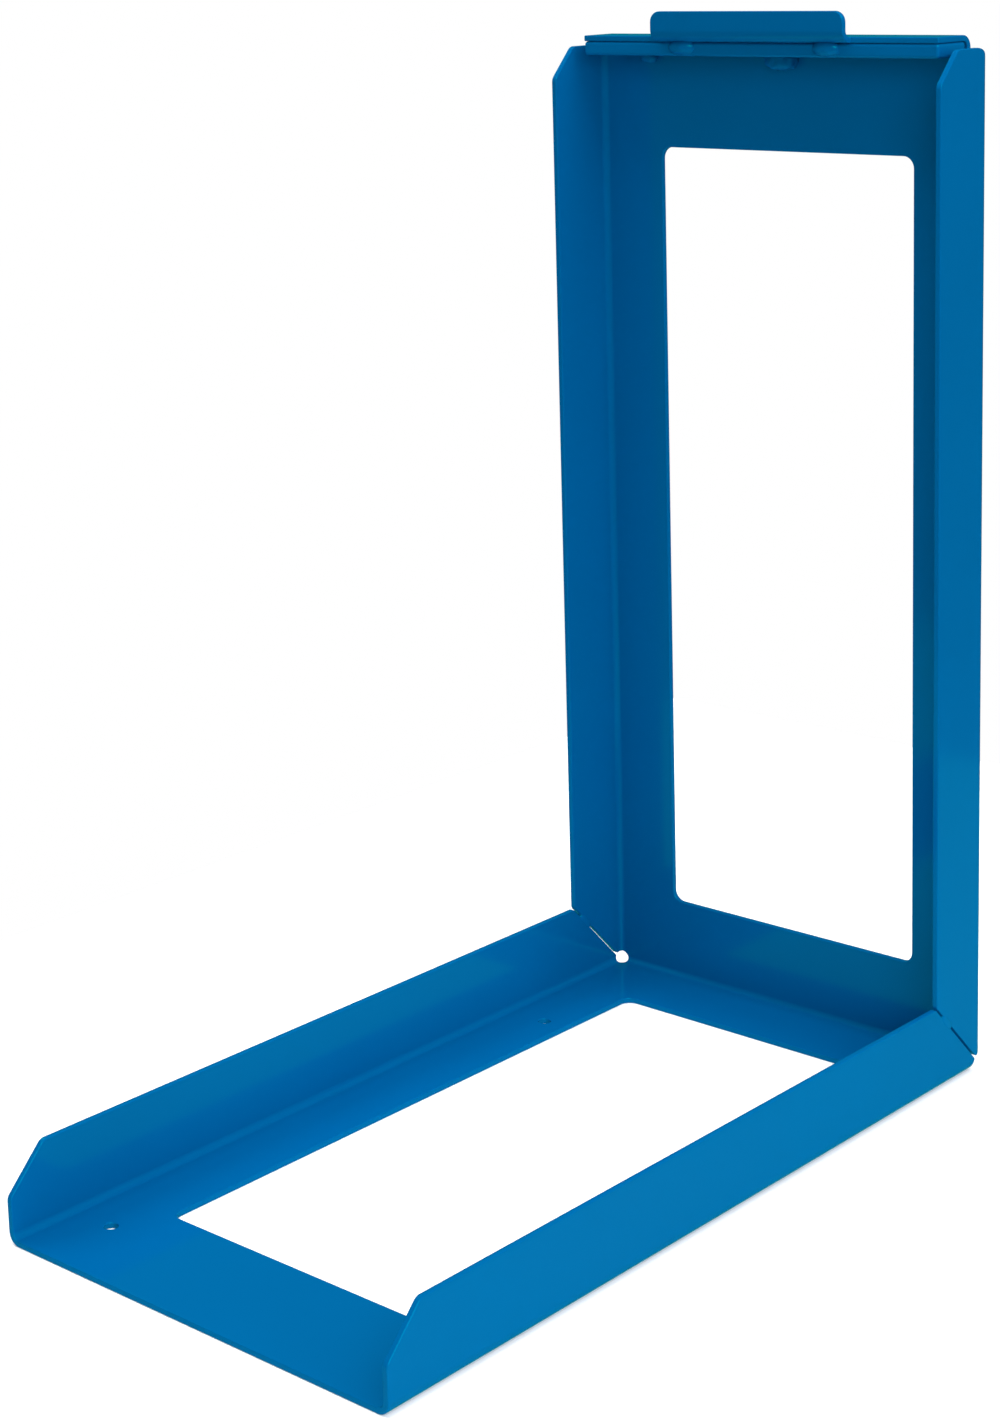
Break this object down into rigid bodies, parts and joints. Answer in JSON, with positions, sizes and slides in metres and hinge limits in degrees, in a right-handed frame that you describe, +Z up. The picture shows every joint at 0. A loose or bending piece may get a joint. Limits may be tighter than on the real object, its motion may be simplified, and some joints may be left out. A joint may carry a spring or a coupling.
{
  "type": "cantilever rack",
  "caption": "L-shaped folded sheet cradle with side flanges, windowed base and back, a top rail with a turned-up tab and a welded stiffening bar.",
  "frame": {"origin": "on the floor, under the middle of the base's outline", "axes": "+Z up, +Y from the open front to the upright back, +X to the right of someone facing the back panel"},
  "size_m": [0.2006, 0.37, 0.4494],
  "materials": {
    "blue_powder_coat": "gloss powder coat",
    "bar_powder_coat": "gloss powder coat over flat bar",
    "weld_powder_coat": "gloss powder coat over weld bead"
  },
  "bodies": {
    "root": {"folded_frame": "blue_powder_coat", "stiffening_bar": "bar_powder_coat", "mitre_weld_left": "weld_powder_coat", "mitre_weld_right": "weld_powder_coat", "front_weld_left": "weld_powder_coat", "front_weld_right": "weld_powder_coat", "rear_weld_left": "weld_powder_coat", "rear_weld_centre": "weld_powder_coat"}
  },
  "joints": []
}
